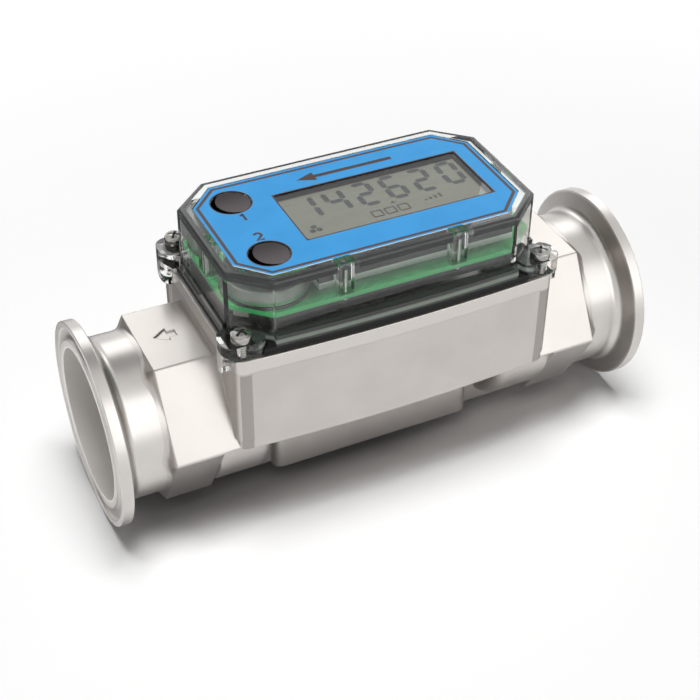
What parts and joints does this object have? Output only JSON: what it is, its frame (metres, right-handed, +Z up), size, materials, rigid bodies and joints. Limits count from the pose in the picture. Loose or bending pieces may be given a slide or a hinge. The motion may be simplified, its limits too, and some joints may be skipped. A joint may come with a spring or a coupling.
{
  "type": "turbine flow meter",
  "caption": "In-line turbine flow meter with sanitary clamp ferrules, hexagonal ends, a cast housing and a battery flow computer with a display and push buttons under a clear cover.",
  "frame": {"origin": "under the middle of the meter, at the level of the lowest points of the ferrule rims; the flow axis is 32 mm above it", "axes": "+X along the flow axis towards the inlet ferrule (the flow runs towards -X), +Z up through the display, -Y towards the side that reads the display the right way up"},
  "size_m": [0.1778, 0.065, 0.0879],
  "materials": {
    "cast_stainless": "satin shot-blasted casting",
    "machined_stainless": "fine turned",
    "support_stainless": "satin",
    "rotor_plastic": "moulded",
    "ceramic": "ground ceramic",
    "carbide": "ground",
    "magnet": "sintered",
    "bobbin_plastic": "moulded",
    "copper_wire": "enamelled wire",
    "coil_iron": "ground",
    "tinned_lead": "tinned",
    "gasket_rubber": "matte",
    "clear_cover": "clear smoke-tinted moulding",
    "blue_label": "printed film",
    "button_rubber": "satin",
    "dome_metal": "polished",
    "board_green": "solder mask",
    "spacer_nylon": "moulded",
    "screw_steel": "bright",
    "reflector_white": "smooth",
    "frame_black": "satin",
    "display_grey": "glass over liquid crystal",
    "strip_rubber": "matte",
    "cell_steel": "bright",
    "chip_black": "moulded"
  },
  "bodies": {
    "meter": {"meter_body": "cast_stainless", "inlet_ferrule": "machined_stainless", "outlet_ferrule": "machined_stainless", "upstream_support": "support_stainless", "downstream_support": "support_stainless", "upstream_retaining_ring": "support_stainless", "downstream_retaining_ring": "support_stainless", "upstream_bearing": "ceramic", "downstream_bearing": "ceramic", "coil_bobbin": "bobbin_plastic", "coil_winding": "copper_wire", "coil_core": "coil_iron", "coil_leads": "tinned_lead", "cover_gasket": "gasket_rubber", "computer_cover": "clear_cover", "face_label": "blue_label", "switch_domes": "dome_metal", "cell_contacts": "dome_metal", "circuit_board": "board_green", "switch_board": "board_green", "board_spacers": "spacer_nylon", "cover_screws": "screw_steel", "module_screws": "screw_steel", "lcd_reflector": "reflector_white", "display_frame": "frame_black", "cell_holder": "frame_black", "electronics_tray": "frame_black", "lcd_glass": "display_grey", "connector_strips": "strip_rubber", "coin_cells": "cell_steel", "board_parts": "chip_black"},
    "rotor": {"turbine_rotor": "rotor_plastic", "rotor_shaft": "carbide", "rotor_magnets": "magnet"},
    "rate_button": {"rate_button": "button_rubber"},
    "total_button": {"total_button": "button_rubber"}
  },
  "joints": [
    {"name": "rotor_spin", "type": "hinge", "parent": "meter", "child": "rotor", "pos_m": [0, 0, 0.032], "axis": [1, 0, 0], "continuous": true},
    {"name": "rate_button_press", "type": "slide", "parent": "meter", "child": "rate_button", "axis": [0, 0, -1], "range_m": [0, 0.0006], "stiffness_N_per_m": 1500},
    {"name": "total_button_press", "type": "slide", "parent": "meter", "child": "total_button", "axis": [0, 0, -1], "range_m": [0, 0.0006], "stiffness_N_per_m": 1500}
  ]
}
